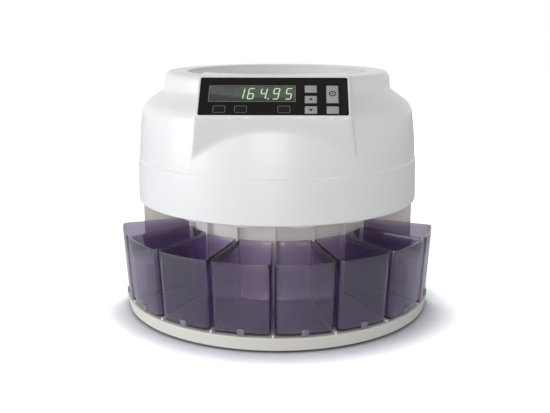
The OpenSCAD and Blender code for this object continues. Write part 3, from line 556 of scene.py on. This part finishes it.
# ---- Cover ----
@dataclass
class Cover:
    """The hinged white cover with its console, mouth and flat back."""

    wall: float = 3.0
    skirt_r: float = 156.3
    skirt_z: float = 126.3
    hem_round: float = 1.2
    belly_r: float = 153.9
    belly_top: Point = (-0.7, 21.0)
    belly_bulge: Point = (350.0, 300.0)
    crease_z: float = 173.3
    crease_step: Point = (1.3, -1.6)
    shoulder: Point = (149.0, 230.1, 18.0)
    neck: Point = (124.8, 247.7, 10.0)
    rim: Point = (123.8, 266.0, 7.0)
    mouth_r: float = 99.0
    mouth_edge: Point = (0.5, -1.5)
    back_y: float = 152.5
    back_round: float = 1.5
    core: Point = (95.0, 186.0)
    panel_centre: Point = (-138.28, 250.25)
    tilt: float = 41.15
    panel_w: float = 142.6
    panel_l: float = 50.0
    lip: float = 2.2
    recess: Point = (0.3, -1.6, 2.0)
    ledge: Point = (6.3, 1.8)
    cut_low: float = -7.0
    cut_height: float = 12.0
    chin_foot: Point = (-130.0, 188.0)
    chin_half: float = 81.3
    chin_blend: float = 2.8
    edge_round: float = 2.6
    crown_round: float = 1.2
    neck_blend: float = 1.5
    neck_rise: float = 8.0
    outer_span: float = 2.2
    inner_span: float = 5.0
    crease_degrees: float = 28.0
    post: Point = (67.4, 20.0, 2.2)
    post_low: float = -9.5
    post_high: float = -2.9
    knuckle: Point = (26.3, 8.0, 3.6)
    hinge_at: Point = (149.4, 122.0)
    web_bite: float = 2.0
    pin_hole: float = 1.65

    def panel_edge(self, side: int) -> Point:
        """Front (side -1) or back (1) edge of the panel's lip, as (y, z) from the disc axis."""
        run = side * (self.panel_l / 2 + self.lip)
        t = math.radians(self.tilt)
        return self.panel_centre[0] + run * math.cos(t), self.panel_centre[1] + run * math.sin(t)

    def profile(self) -> Array:
        """Outer section of the body from the skirt to the mouth."""
        out, down = self.crease_step
        lean, rise = self.belly_top
        top = self.rim[1]
        return round_outline([
            (self.skirt_r - self.wall / 2, self.skirt_z),
            (self.skirt_r, self.skirt_z, self.hem_round),
            (self.belly_r + out, self.crease_z + down, 1.0),
            (self.belly_r, self.crease_z - 0.1, 0.6),
            (self.belly_r + lean, self.crease_z + rise, self.belly_bulge[0]),
            self.shoulder, self.neck, self.rim,
            (self.mouth_r, top, self.hem_round), (self.mouth_r, top - self.wall),
        ], 8)

    def inner_profile(self) -> Array:
        """Inner section from the mouth back down to the skirt."""
        w = self.wall
        lean, rise = self.belly_top
        top = self.rim[1] - w
        return round_outline([
            (self.mouth_r, top), (self.rim[0] - w, top, 4),
            (self.neck[0] - w - 0.2, self.neck[1] - w - 2, 12),
            (self.shoulder[0] - w, self.shoulder[1] - w / 2, 15),
            (self.belly_r - w + lean, self.crease_z + rise, self.belly_bulge[1]),
            (self.belly_r - w, self.crease_z),
            (self.skirt_r - w, self.skirt_z, 0.8), (self.skirt_r - w / 2, self.skirt_z),
        ], 4)

    def columns(self) -> Array:
        """Directions of the columns round the axis, closest where the console's side edges run."""
        # Start, end and step of each zone, in degrees from the front.
        zones = ((0, 18, 1.5), (18, 36, 0.32), (36, 48, 0.8), (48, 180, 2.4))
        half = np.concatenate([np.arange(a, b, step) for a, b, step in zones])
        return np.radians(np.concatenate([half, 360 - half[:0:-1]]))

    def reach(self, profile: Array, inset: float, turns: Array) -> Array:
        """Pushes a turned section out to the console's planes and cuts it at the flat back.

        Args:
            profile: Section as (radius, z) points.
            inset: Distance of this skin inside the outer one.
            turns: Column directions, 0 towards the front.

        Returns:
            Points, rows by columns by 3, from the disc axis.
        """
        r0, z0 = self.core
        ray = profile - np.array([r0, z0])
        body = np.linalg.norm(ray, axis=1)[:, None]
        dr, dz = ray[:, 0:1] / body, ray[:, 1:2] / body
        sx, sy = np.sin(turns)[None], -np.cos(turns)[None]
        ox, oy = r0 * sx, r0 * sy
        dx, dy = dr * sx, dr * sy

        def plane(nx: float, ny: float, nz: float, through: Point) -> Array:
            """Distance along each ray to a plane, FAR where the ray runs from it."""
            speed = nx * dx + ny * dy + nz * dz
            gap = nx * (through[0] - ox) + ny * (through[1] - oy) + nz * (through[2] - z0) - inset
            met = np.minimum(gap / np.maximum(speed, LEAST_SPEED), FAR)
            return np.where(speed > LEAST_SPEED, met, FAR)

        t = math.radians(self.tilt)
        brow, crown = self.panel_edge(-1), self.panel_edge(1)
        face = plane(0, -math.sin(t), math.cos(t), (0, *brow))
        chin = unit(np.array([self.chin_foot[1] - brow[1], brow[0] - self.chin_foot[0]]))
        chin_face = plane(0, *chin, (0, *brow))
        top = plane(0, 0, 1, (0, 0, crown[1]))
        console = blend_min(blend_min(face, chin_face, self.edge_round), top, self.crown_round)
        half = self.panel_w / 2 + self.lip
        flare = (self.chin_half - half) / (brow[1] - self.chin_foot[1])
        cant = math.hypot(1, flare)
        for s in (-1, 1):
            side = plane(s / cant, 0, flare / cant, (s * half, 0, brow[1]))
            upright = plane(s, 0, 0, (s * half, 0, 0))
            console = blend_min(console, np.maximum(side, upright), self.edge_round)
        radius, height = profile[:, 0:1], profile[:, 1:2]
        at_mouth = radius < self.mouth_r + self.mouth_edge[0]
        mouth_foot = at_mouth & (height < self.rim[1] + self.mouth_edge[1])
        ahead = -sy > 0.5
        console = np.where(ahead & ~mouth_foot, console, 0.0)
        reach = np.where(console > body - 3 * self.chin_blend,
                         blend_max(body, console, self.chin_blend), body)
        lift = np.clip((height - self.neck[1]) / self.neck_rise, 0, 1)
        reach = reach * (1 - lift) + blend_max(body, console, self.neck_blend) * lift
        reach = np.maximum(reach, np.maximum(body, console))
        reach = blend_min(reach, plane(0, 1, 0, (0, self.back_y, 0)), self.back_round)
        return np.stack([ox + reach * dx, oy + reach * dy, z0 + reach * dz], axis=2)

    def build(self) -> None:
        """Models the cover's shell, cuts the console open and adds knuckles and posts."""
        turns = self.columns()
        outer = refine(self.profile(), self.outer_span)
        inner = refine(self.inner_profile(), self.inner_span)
        rows = np.concatenate([self.reach(outer, 0, turns),
                               self.reach(inner, self.wall, turns)[1:-1]])
        rows[:, :, 1] += AXIS_Y
        shell = sheet_of("cover_shell", rows, True)
        self.cut_console(shell)
        smooth(shell, self.crease_degrees)
        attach(shell, "cover")
        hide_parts("top_cover")
        COVER_WHITE.dress(shell)
        self.add_posts()
        self.add_knuckles()

    def add_posts(self) -> None:
        """Models the four screw posts under the console that carry the panel board."""
        x, y, radius = self.post
        posts = [start_ring("post", 24, radius, (sx * x, sy * y, self.post_low))
                 for sx in (-1, 1) for sy in (-1, 1)]
        height = self.post_high - self.post_low
        piece = soften(join("console_posts", [extrude_up(post, height) for post in posts]), 0.2)
        lay_on(piece, self.panel_place())
        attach(piece, "cover")
        COVER_WHITE.dress(piece)

    def add_knuckles(self) -> None:
        """Models the two hinge knuckles behind the skirt, each with the web that holds it."""
        x, width, radius = self.knuckle
        y, z = self.hinge_at
        knuckles = []
        for side in (-1, 1):
            place = shift(side * x, y, z) @ Matrix.Rotation(math.pi / 2, 4, "Y")
            ring = start_ring("knuckle", 40, radius, (0, 0, -width / 2))
            barrel = lay_on(extrude_up(ring, width), place)
            foot = start_plane("web", width, self.back_y - y,
                               (side * x, AXIS_Y + (y + self.back_y) / 2, z))
            combine(barrel, extrude_up(foot, self.skirt_z - z + self.web_bite), "UNION")
            hole = start_ring("bore", 32, self.pin_hole, (0, 0, -width))
            combine(barrel, lay_on(extrude_up(hole, 2 * width), place), "DIFFERENCE")
            knuckles.append(barrel)
        piece = soften(join("cover_knuckles", knuckles), 0.25)
        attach(piece, "cover")
        COVER_WHITE.dress(piece)

    def panel_place(self) -> Matrix:
        """Matrix of the panel's face: x to the right, y up the slope, z outwards."""
        lean = Euler((math.radians(self.tilt), 0, 0)).to_matrix().to_4x4()
        return shift(0, *self.panel_centre) @ lean

    def cut_console(self, shell: Piece) -> None:
        """Cuts the recess for the panel and the opening behind it."""
        gap, low, corner = self.recess
        across, along = self.ledge
        recess = start_plane("recess_cutter", self.panel_w + gap, self.panel_l + gap, (0, 0, low))
        window = start_plane("window_cutter", self.panel_w - 2 * across, self.panel_l - 2 * along,
                             (0, 0, self.cut_low))
        for cutter in (round_corners(recess, corner), window):
            lay_on(extrude_up(cutter, self.cut_height), self.panel_place())
            combine(shell, cutter, "DIFFERENCE")


# ---- Console fittings ----
BLACK_KEYS = {"key_black_left": (-51.2, -16.6), "key_black_middle": (-30.9, -16.6),
              "key_black_right": (9.9, -16.6)}
GREY_KEYS = {"key_mode": (35.4, 9.8), "key_up": (35.4, -3.8), "key_down": (35.4, -17.1),
             "key_start": (55.9, 3.0), "key_clear": (55.9, -17.1)}


@dataclass
class Console:
    """Panel, display and keys on the cover's console, in the panel's own axes."""

    cover: Cover
    display: Point = (-20.6, 3.9)
    display_size: Point = (83.3, 21.5)
    display_gap: float = 0.3
    display_corner: float = 0.6
    glass: Point = (-1.6, 1.1)
    ground: Point = (-3.0, 0.4)
    frame_stroke: float = 0.55
    frame_low: float = -0.42
    digits: tuple[tuple[float, str], ...] = (
        (-35.3, "bc"), (-25.9, "acdefg"), (-13.9, "bcfg"), (-1.9, "abcdfg"), (10.1, "acdfg"))
    point_at: Point = (-5.4, 0.8, 0.85)
    digit_low: float = -1.7
    digit_h: float = 13.9
    digit_w: float = 6.2
    digit_sheet: Point = (-2.55, 0.15)
    stroke: float = 1.1
    tip_gap: float = 0.12
    slant: float = 9.0
    key_frame: tuple[Point, float, float] = ((11.8, 8.8), 1.2, 0.42)
    key_top: float = -0.1
    arrow_r: float = 2.2
    symbol_up: float = 0.8
    symbol_ring: Point = (3.0, 0.55, -0.15)
    symbol_dot_r: float = 0.8
    lip_margin: float = 2.6
    lip_corner: float = 3.6
    lip_stroke: float = 1.7
    lip_height: Point = (-0.5, 1.2)

    def place(self, piece: Piece, body: str, finish: Finish) -> None:
        """Lays a piece on the panel, rides it on a body and dresses it."""
        lay_on(piece, self.cover.panel_place())
        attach(piece, body)
        finish.dress(piece)

    def build(self) -> None:
        """Builds the panel, the display, the digits and the keys."""
        PANEL_BLACK.dress(moulded_copy("control_panel", "panel_film", 0.15))
        self.build_lip()
        self.build_display()
        for name in BLACK_KEYS:
            KEY_BLACK.dress(moulded_copy(name, f"{name}_cap", 0.2))
        for name in GREY_KEYS:
            KEY_GREY.dress(moulded_copy(name, f"{name}_cap", 0.35))
        self.build_legends()

    def build_display(self) -> None:
        """Models the glass, its thin frame, the dark ground and the green figures."""
        w, h = (side - self.display_gap for side in self.display_size)
        x, y = self.display
        low, thick = self.glass
        glass = start_plane("display_glass", w, h, (x, y, low))
        glass = round_corners(glass, self.display_corner)
        self.place(soften(extrude_up(glass, thick), 0.15), "cover", DISPLAY_GLASS)
        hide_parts("display_window")
        low, thick = self.ground
        ground = extrude_up(start_plane("display_ground", w, h, (x, y, low)), thick)
        self.place(soften(ground, 0.1), "cover", DISPLAY_BACK)
        frame = self.outline("display_frame", (x, y), self.frame_low, (w + 0.1, h + 0.1),
                             self.frame_stroke, self.frame_stroke)
        self.place(frame, "cover", LEGEND_GREY)
        figures = [self.bar(left, which) for left, bars in self.digits for which in bars]
        low, thick = self.digit_sheet
        across, up, radius = self.point_at
        point = start_ring("point", 10, radius, (across, self.digit_low + up, low))
        figures.append(extrude_up(point, thick))
        self.place(join("display_digits", figures), "cover", DIGIT_GREEN)

    def bar(self, left: float, which: str) -> Piece:
        """Models one bar of a seven-bar figure.

        Args:
            left: Left side of the figure at its foot, mm.
            which: The bar's letter, a at the top and clockwise, g in the middle.

        Returns:
            The slanted bar.
        """
        s, w, h = self.stroke, self.digit_w, self.digit_h
        reach = (h - s) / 2
        heights = {"a": h - s / 2, "g": h / 2, "d": s / 2}
        turned = which not in heights
        if turned:
            cx = s / 2 if which in "ef" else w - s / 2
            cy = s / 2 + reach / 2 + (reach if which in "bf" else 0)
            tip = reach / 2 - self.tip_gap
        else:
            cx, cy = w / 2, heights[which]
            tip = (w - s) / 2 - self.tip_gap
        side, half = tip - s / 2, s / 2
        shape = [(-tip, 0), (-side, half), (side, half), (tip, 0), (side, -half), (-side, -half)]
        lean = math.tan(math.radians(self.slant))
        low, thick = self.digit_sheet
        piece = start_ring(f"bar_{which}", len(shape), half)
        for vertex, (px, py) in zip(piece.data.vertices, shape):
            if turned:
                px, py = py, px
            py += cy
            px += left + cx + lean * py
            vertex.co = (px * MM, (py + self.digit_low) * MM, low * MM)
        return extrude_up(piece, thick)

    def outline(self, name: str, at: Point, z: float, size: Point, corner: float, stroke: float,
                rise: float = PRINT_HEIGHT) -> Piece:
        """Models an outline with rounded corners, from z above the panel's face upwards."""
        piece = round_corners(start_plane(name, *size, (*at, z)), corner, 4)
        with editing(piece):
            bpy.ops.mesh.inset(thickness=stroke * MM, depth=0)
            bpy.ops.mesh.delete(type="FACE")
        return extrude_up(piece, rise)

    def build_lip(self) -> None:
        """Models the cover's narrow rounded lip round the panel."""
        size = (self.cover.panel_w + self.lip_margin, self.cover.panel_l + self.lip_margin)
        low, rise = self.lip_height
        lip = self.outline("panel_lip", (0, 0), low, size, self.lip_corner, self.lip_stroke, rise)
        self.place(soften(lip, 0.5, 3), "cover", COVER_WHITE)

    def build_legends(self) -> None:
        """Models the printed outlines, arrows and the start symbol on the keys."""
        for name, at in BLACK_KEYS.items():
            frame = self.outline(f"{name}_outline", at, self.key_top, *self.key_frame)
            self.place(frame, name, LEGEND_GREY)
        for name, turn in (("key_up", 0), ("key_down", -math.pi)):
            x, y = GREY_KEYS[name]
            arrow = start_ring(f"{name}_arrow", 3, self.arrow_r)
            arrow.rotation_euler = (0, 0, turn)
            arrow.location = (x * MM, y * MM, self.key_top * MM)
            self.place(extrude_up(settle(arrow), PRINT_HEIGHT), name, LEGEND_DARK)
        major, minor, sunk = self.symbol_ring
        x, y = GREY_KEYS["key_start"]
        y += self.symbol_up
        deselect()
        bpy.ops.mesh.primitive_torus_add(
            major_radius=major * MM, minor_radius=minor * MM, major_segments=40, minor_segments=8,
            location=(x * MM, y * MM, (self.key_top + sunk) * MM),
        )
        ring = smooth(settle(named("start_ring")), 60)
        dot = start_ring("start_dot", 20, self.symbol_dot_r, (x, y, self.key_top))
        symbol = join("key_start_symbol", [ring, extrude_up(dot, PRINT_HEIGHT)])
        self.place(symbol, "key_start", LEGEND_DARK)


# ---- Drawers ----
@dataclass
class Drawers:
    """The eight see-through coin drawers, each a thin shell with rounded corners."""

    count: int = 8
    pitch: float = 21.75
    fan_back: float = 53.0
    front: float = 177.5
    top_curve: Point = (177.3, 5.5)
    foot_curve: Point = (173.2, 7.0)
    gap: float = 3.2
    wall: float = 1.7
    corner: float = 6.0
    back_corner: float = 3.0
    least_round: float = 0.6
    inner_r: float = 102.0
    bay_back: float = 15.0
    low_z: float = 16.3
    height: float = 76.4
    floor_rise: float = 9.0
    tab: Point = (7.4, 1.1, 7.0)
    tab_out: float = 0.35
    tab_up: float = 1.2

    def gap_angle(self, k: float) -> float:
        """Direction of gap line k from the fan point, radians from straight ahead."""
        a = math.radians(k * self.pitch)
        return math.atan2(self.front * math.sin(a), self.fan_back + self.front * math.cos(a))

    @staticmethod
    def meet(start: Array, d: Array, middle: Array, r: float) -> Array:
        """Point where the line from start along d leaves the circle of radius r about middle."""
        p = start - middle
        along = p @ d
        return start + d * (-along + math.sqrt(along * along - p @ p + r * r))

    def curve_at(self, z: float) -> tuple[float, Array]:
        """Radius and centre of the fronts' curve at a height, from the disc axis."""
        share = (z - self.low_z) / self.height
        radius, back = (a + (b - a) * share for a, b in zip(self.foot_curve, self.top_curve))
        return radius, np.array([0.0, back])

    def plan(self, number: int, inset: float, z: float) -> Array:
        """Outline of a drawer from above.

        Args:
            number: Drawer from 1 at the left to 8 at the right.
            inset: Distance inside the outer faces, mm.
            z: Height of this outline, mm.

        Returns:
            Points anticlockwise from the left back corner, from the disc axis.
        """
        fan, bay = np.array([0.0, self.fan_back]), np.array([0.0, self.bay_back])
        reach, hub = self.curve_at(z)
        outer, inner = reach - inset, self.inner_r + inset
        fronts, backs = [], []
        for side in (-1, 1):
            a = self.gap_angle(number - 5 if side < 0 else number - 4)
            d, n = np.array([math.sin(a), -math.cos(a)]), np.array([math.cos(a), math.sin(a)])
            for ends, middle, limit, corner, way, steps in (
                (fronts, hub, outer, self.corner, -1, 7),
                (backs, bay, inner, self.back_corner, 1, 5),
            ):
                r = max(self.least_round, corner - inset)
                start = fan - side * (self.gap / 2 + inset + r) * n
                at = self.meet(start, d, middle, limit + way * r)
                ends.append(self.arc(at, r, side * n, way * (middle - at), steps, way * side > 0))
        across = self.arc(hub, outer, fronts[0][-1] - hub, fronts[1][0] - hub, 14, True)[1:-1]
        behind = self.arc(bay, inner, backs[1][-1] - bay, backs[0][0] - bay, 10, True)[1:-1]
        return np.concatenate([backs[0], fronts[0], across, fronts[1], backs[1], behind])

    @staticmethod
    def arc(centre: Array, r: float, first: Array, last: Array, steps: int, forward: bool) -> Array:
        """Arc between two directions, reversed where forward is false."""
        a, b = math.atan2(first[1], first[0]), math.atan2(last[1], last[0])
        b = a + (b - a + math.pi) % (2 * math.pi) - math.pi
        angles = np.linspace(a, b, steps + 1)
        points = centre + r * np.stack([np.cos(angles), np.sin(angles)], axis=1)
        return points if forward else points[::-1]

    def levels(self) -> list[tuple[float, float]]:
        """Height and inset of each outline, up the outside of a drawer and down its inside."""
        low, top, w = self.low_z, self.low_z + self.height, self.wall
        lower, upper = low + self.height * 0.35, low + self.height * 0.7
        return [
            (low, 1.3), (low + 0.35, 0.4), (low + 1.3, 0.0), (lower, 0.0), (upper, 0.0),
            (top - 0.5, 0.0), (top - 0.12, 0.14), (top, 0.5),
            (top, w - 0.5), (top - 0.12, w - 0.14), (top - 0.5, w),
            (upper, w), (lower, w), (low + w + 2, w), (low + w + 0.6, w + 0.6), (low + w, w + 2),
        ]

    def build(self) -> None:
        """Models every drawer with its tab."""
        top = self.low_z + self.height
        for number in range(1, self.count + 1):
            drawer, rows = f"drawer_{number}", []
            for z, inset in self.levels():
                ring = self.plan(number, inset, z)
                inwards = (self.front - np.hypot(*ring.T)) / (self.front - self.inner_r)
                lift = self.floor_rise * np.clip(inwards, 0, 1) * (top - z) / self.height
                rows.append(np.column_stack([ring[:, 0], ring[:, 1] + AXIS_Y, z + lift]))
            shell = close_ends(sheet_of(f"{drawer}_shell", np.array(rows), False))
            smooth(shell, 40)
            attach(shell, drawer)
            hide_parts(drawer)
            SMOKE_PLASTIC.dress(shell)
            self.add_tab(number)

    def add_tab(self, number: int) -> None:
        """Models the small pull tab at the foot of a drawer's front."""
        a = (self.gap_angle(number - 5) + self.gap_angle(number - 4)) / 2
        d = np.array([math.sin(a), -math.cos(a)])
        foot, hub = self.curve_at(self.low_z)
        top, top_hub = self.curve_at(self.low_z + self.height)
        x, y = self.meet(np.array([0.0, self.fan_back]), d, hub, foot + self.tab_out)
        width, depth, height = self.tab
        tab = round_corners(start_plane(f"drawer_{number}_tab", width, depth), 0.4, 2)
        soften(extrude_up(tab, height), 0.35)
        turn = Matrix.Rotation(a, 4, "Z")
        lean = Matrix.Rotation(math.atan2(top - top_hub[1] - foot + hub[1], self.height), 4, "X")
        lay_on(tab, shift(x, y, self.low_z + self.tab_up) @ turn @ lean)
        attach(tab, f"drawer_{number}")
        TAB_SMOKE.dress(tab)


# ---- Housing and mechanism ----
class Housing:
    """The housing, base, mechanism and hidden fittings, which start from their CAD shapes."""

    rounded: dict[str, tuple[str, float, Finish]] = {
        "base_tray": ("base_moulding", 0.5, BASE_WHITE),
        "lower_housing": ("housing_moulding", 0.5, HOUSING_WHITE),
        "deck_frame": ("deck_moulding", 0.4, HOUSING_WHITE),
        "coin_chutes": ("chute_lips", 0.3, HOUSING_WHITE),
        "guide_ring": ("guide_moulding", 0.4, HOUSING_WHITE),
        "hopper_funnel": ("hopper_bowl", 0.4, COVER_WHITE),
        "rubber_feet": ("foot_pads", 0.4, RUBBER),
        "sorting_plate": ("sorting_track", 0.2, STEEL),
        "coin_disc": ("turning_disc", 0.3, DISC_ALLOY),
        "sweeper_ring": ("sweeper_moulding", 0.3, SWEEPER_RUBBER),
        "power_inlet": ("inlet_shell", 0.4, BLACK_PLASTIC),
        "rocker_frame": ("rocker_surround", 0.4, BLACK_PLASTIC),
        "power_rocker": ("rocker_cap", 0.4, BLACK_PLASTIC),
        "data_port": ("data_socket", 0.3, BLACK_PLASTIC),
    }
    plain: dict[Finish, tuple[str, ...]] = {
        STEEL: ("base_screws", "deck_screws", "board_screws", "drive_shaft", "motor_pulley",
                "motor_bracket", "hinge_pins"),
        BLACK_PLASTIC: ("coin_sensors", "driven_pulley", "display_module", "key_switches"),
        GREY_CASE: ("motor", "power_supply"),
        BRONZE: ("upper_bush", "lower_bush"),
        SWEEPER_RUBBER: ("drive_belt",),
        BOARD_GREEN: ("main_board", "panel_board"),
        BRASS: ("inlet_pins",),
    }

    rim_r: float = 167.5
    rim_curve: Point = (174.4, 7.0)
    rim_start: float = -8.0
    rim_ramp: float = 6.0
    bay: Point = (98.0, 15.0)
    base_top: float = 16.0
    rib_foot: float = 0.2
    rib_cut: float = 0.45

    def build(self) -> None:
        """Rounds the mouldings that show and dresses the rest."""
        for node, (name, width, finish) in self.rounded.items():
            piece = finish.dress(moulded_copy(node, name, width))
            if node == "base_tray":
                self.widen(piece)
        for finish, nodes in self.plain.items():
            for node in nodes:
                finish.dress(FRAME["nodes"][node])

    def widen(self, base: Piece) -> None:
        """Moves the base's rim out to the drawers' curve and lowers the guide ribs in the bay."""
        places = np.empty(len(base.data.vertices) * 3)
        base.data.vertices.foreach_get("co", places)
        places = places.reshape(-1, 3)
        across, along = places[:, 0] / MM, places[:, 1] / MM - AXIS_Y
        r = np.hypot(across, along)
        radius, back = self.rim_curve
        turn = np.arctan2(across, -along)
        rim = np.sqrt(radius ** 2 - (back * np.sin(turn)) ** 2) - back * np.cos(turn)
        share = np.clip((r - self.rim_r - self.rim_start) / self.rim_ramp, 0, 1)
        grow = 1 + (rim - self.rim_r) * share / np.maximum(r, 1)
        in_bay = (np.hypot(across, along - self.bay[1]) > self.bay[0]) & (along < 0)
        height = places[:, 2] / MM - self.base_top
        places[:, 2] -= np.where(in_bay & (height > self.rib_foot), self.rib_cut * height, 0) * MM
        places[:, 0] *= grow
        places[:, 1] = (along * grow + AXIS_Y) * MM
        base.data.vertices.foreach_set("co", places.ravel())
        base.data.update()


# ---- Studio ----
@dataclass
class Lamp:
    """A soft square lamp aimed at a point."""

    name: str
    at: Point
    aim: Point
    size: float
    power: float
    colour: Colour

    def build(self) -> None:
        """Adds the lamp."""
        data = bpy.data.lights.new(self.name, "AREA")
        data.shape, data.size = "SQUARE", self.size
        data.energy, data.color = self.power, self.colour
        lamp = add_object(self.name, data)
        lamp.location = self.at
        way = Vector(self.aim) - Vector(self.at)
        lamp.rotation_euler = way.to_track_quat("-Z", "Y").to_euler()


@dataclass
class Studio:
    """Camera, pale floor with a painted contact shadow, world and soft lamps, in metres and degrees
    but for floor_r in mm.
    """

    eye: Point = (0.02179, -0.90741, 0.32607)
    pitch: float = 76.79
    yaw: float = 1.5
    lens: float = 53.57
    lamps: tuple[Lamp, ...] = (
        Lamp("left_box", (-1.5, -0.55, 0.35), (0, 0, 0.15), 1.0, 10.6, (0.96, 0.98, 1.0)),
        Lamp("front_box", (-0.1, -1.7, 0.24), (0, 0, 0.14), 0.8, 6.2, (1.0, 0.98, 0.95)),
        Lamp("upper_left", (-0.9, -0.7, 1.3), (-0.05, 0, 0.25), 0.5, 0.4, (1.0, 1.0, 1.0)),
        Lamp("upper_right", (0.9, -0.7, 1.3), (0.05, 0, 0.25), 0.5, 1.9, (1.0, 0.98, 0.95)),
    )
    bounces: int = 28
    floor_r: float = 4000.0
    floor_seen: Point = (2.7, 2.72, 2.76, 1)
    # Colour of the shadow painted on the floor where the machine stands close to it.
    floor_painted_shadow: Point = (0.34, 0.355, 0.41, 1)
    floor_lighting: Point = (0.86, 0.87, 0.89, 1)
    painted_shadow_reach: float = 0.07
    painted_shadow_range: Point = (0.42, 0.98)
    sky: Point = (0.97, 0.98, 1.0, 1)
    backdrop: Point = (1, 1, 1, 1)
    bright_way: Point = (-0.241, 0.120, -0.963)
    sky_range: Point = (0.17, 1.83)

    def build(self) -> None:
        """Sets up everything that isn't part of the machine."""
        self.add_camera()
        for lamp in self.lamps:
            lamp.build()
        self.add_floor()
        self.add_world()
        bpy.context.scene.view_settings.view_transform = "Standard"
        cycles = bpy.context.scene.cycles
        for limit in ("max_bounces", "transmission_bounces", "transparent_max_bounces"):
            setattr(cycles, limit, self.bounces)

    def add_camera(self) -> None:
        """Adds the camera."""
        data = bpy.data.cameras.new("camera")
        data.lens, data.sensor_width = self.lens, 36.0
        camera = add_object("camera", data)
        camera.location = self.eye
        camera.rotation_euler = (math.radians(self.pitch), 0, math.radians(self.yaw))
        bpy.context.scene.camera = camera

    def add_floor(self) -> None:
        """Adds a wide pale floor with a painted contact shadow: its colour darkens softly where the
        machine stands close to it.
        """
        floor = start_ring("floor", 64, self.floor_r)
        material = bpy.data.materials.new("pale_floor_painted_shadow")
        material.use_nodes = True
        tree = material.node_tree
        # Painted shadow: ambient occlusion near the machine mixes the floor's colour towards a dark
        # bluish grey.
        painted_shadow_ao = add_node(tree, "AmbientOcclusion", {"Distance": self.painted_shadow_reach}, samples=12)
        depth = add_node(tree, "MapRange", {
            "Value": painted_shadow_ao.outputs["AO"], "From Min": self.painted_shadow_range[0],
            "From Max": self.painted_shadow_range[1],
        }, interpolation_type="SMOOTHSTEP")
        painted_shadow_colour = mix_colours(tree, depth.outputs["Result"], self.floor_painted_shadow, self.floor_seen)
        seen = add_node(tree, "LightPath", {}).outputs["Is Camera Ray"]
        feed(tree, tree.nodes["Principled BSDF"], {
            "Roughness": 0.9, "Specular IOR Level": 0.1,
            "Base Color": mix_colours(tree, seen, self.floor_lighting, painted_shadow_colour),
        })
        floor.data.materials.append(material)

    def add_world(self) -> None:
        """Lights the scene, most from below and the left, and shows plain white to clear views."""
        world = bpy.data.worlds.new("studio")
        bpy.context.scene.world = world
        world.use_nodes = True
        tree = world.node_tree
        way = add_node(tree, "TexCoord", {}).outputs["Generated"]
        side = add_node(tree, "VectorMath", {0: way, 1: self.bright_way}, operation="DOT_PRODUCT")
        soft = add_node(tree, "MapRange", {
            "Value": side.outputs["Value"], "From Min": -1.0, "From Max": 1.0,
            "To Min": self.sky_range[0], "To Max": self.sky_range[1],
        })
        path = add_node(tree, "LightPath", {}).outputs
        seen = either(tree, path["Is Camera Ray"], path["Is Glossy Ray"])
        seen = either(tree, seen, path["Is Transmission Ray"])
        strength = add_node(tree, "Mix", {0: seen, 2: soft.outputs["Result"], 3: 1.0}).outputs[0]
        feed(tree, tree.nodes["Background"], {
            "Strength": strength, "Color": mix_colours(tree, seen, self.sky, self.backdrop),
        })


def main() -> None:
    """Builds the studio and the machine, stage by stage."""
    logging.basicConfig(level=logging.INFO, format="%(name)s %(message)s")
    cover = Cover()
    for stage in (Studio(), cover, Console(cover), Drawers(), Housing()):
        stage.build()
        LOG.info("%s built, %d objects", type(stage).__name__, len(bpy.data.objects))


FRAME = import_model()

if __name__ == "__main__":
    main()
    deselect()
